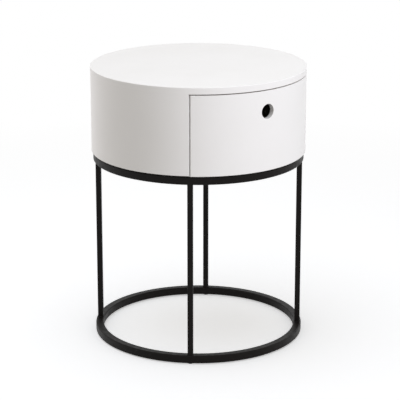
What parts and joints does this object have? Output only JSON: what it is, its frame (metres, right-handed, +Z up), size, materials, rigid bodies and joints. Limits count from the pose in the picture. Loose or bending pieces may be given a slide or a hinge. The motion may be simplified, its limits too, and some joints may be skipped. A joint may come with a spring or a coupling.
{
  "type": "round nightstand",
  "caption": "Round bedside drum with a curved drawer on ball slides and a finger hole, carried by a ring-shaped frame of black square tube.",
  "frame": {"origin": "on the floor, on the drum's axis", "axes": "+Z up, the drawer opens towards -Y"},
  "size_m": [0.4, 0.4, 0.5165],
  "materials": {
    "white_lacquer": "matt white lacquer on fibreboard",
    "inner_board": "white-faced fibreboard",
    "drawer_board": "white-faced fibreboard",
    "tray_board": "white-faced hardboard",
    "beech_dowel": "plain beech",
    "black_powder_coat": "matt black powder coat",
    "zinc_steel": "zinc plate",
    "screw_steel": "zinc plate",
    "ball_steel": "polished",
    "insert_brass": "plain",
    "black_bolt": "black oxide",
    "glide_plastic": "moulded"
  },
  "bodies": {
    "cabinet": {"top_panel": "white_lacquer", "bottom_panel": "white_lacquer", "side_wall": "white_lacquer", "carcass_dowels": "beech_dowel", "left_partition": "inner_board", "right_partition": "inner_board", "left_cabinet_rail": "zinc_steel", "right_cabinet_rail": "zinc_steel", "cabinet_rail_screws": "screw_steel", "threaded_inserts": "insert_brass", "base_ring": "black_powder_coat", "top_ring": "black_powder_coat", "front_left_leg": "black_powder_coat", "front_right_leg": "black_powder_coat", "rear_left_leg": "black_powder_coat", "rear_right_leg": "black_powder_coat", "mounting_plates": "black_powder_coat", "frame_bolts": "black_bolt", "floor_glides": "glide_plastic"},
    "drawer": {"drawer_front": "white_lacquer", "left_drawer_side": "drawer_board", "right_drawer_side": "drawer_board", "drawer_back": "drawer_board", "drawer_tray": "tray_board", "left_drawer_rail": "zinc_steel", "right_drawer_rail": "zinc_steel", "drawer_rail_screws": "screw_steel", "front_dowels": "beech_dowel", "back_screws": "screw_steel", "tray_screws": "screw_steel"},
    "left_carriage": {"left_ball_cage": "zinc_steel", "left_balls": "ball_steel"},
    "right_carriage": {"right_ball_cage": "zinc_steel", "right_balls": "ball_steel"}
  },
  "joints": [
    {"name": "drawer_slide", "type": "slide", "parent": "cabinet", "child": "drawer", "axis": [0, -1, 0], "range_m": [0, 0.175]},
    {"name": "left_carriage_slide", "type": "slide", "parent": "cabinet", "child": "left_carriage", "axis": [0, -1, 0], "range_m": [0, 0.0875]},
    {"name": "right_carriage_slide", "type": "slide", "parent": "cabinet", "child": "right_carriage", "axis": [0, -1, 0], "range_m": [0, 0.0875]}
  ],
  "couplings": [
    {"joint": "left_carriage_slide", "follows": "drawer_slide", "ratio": 0.5},
    {"joint": "right_carriage_slide", "follows": "drawer_slide", "ratio": 0.5}
  ]
}
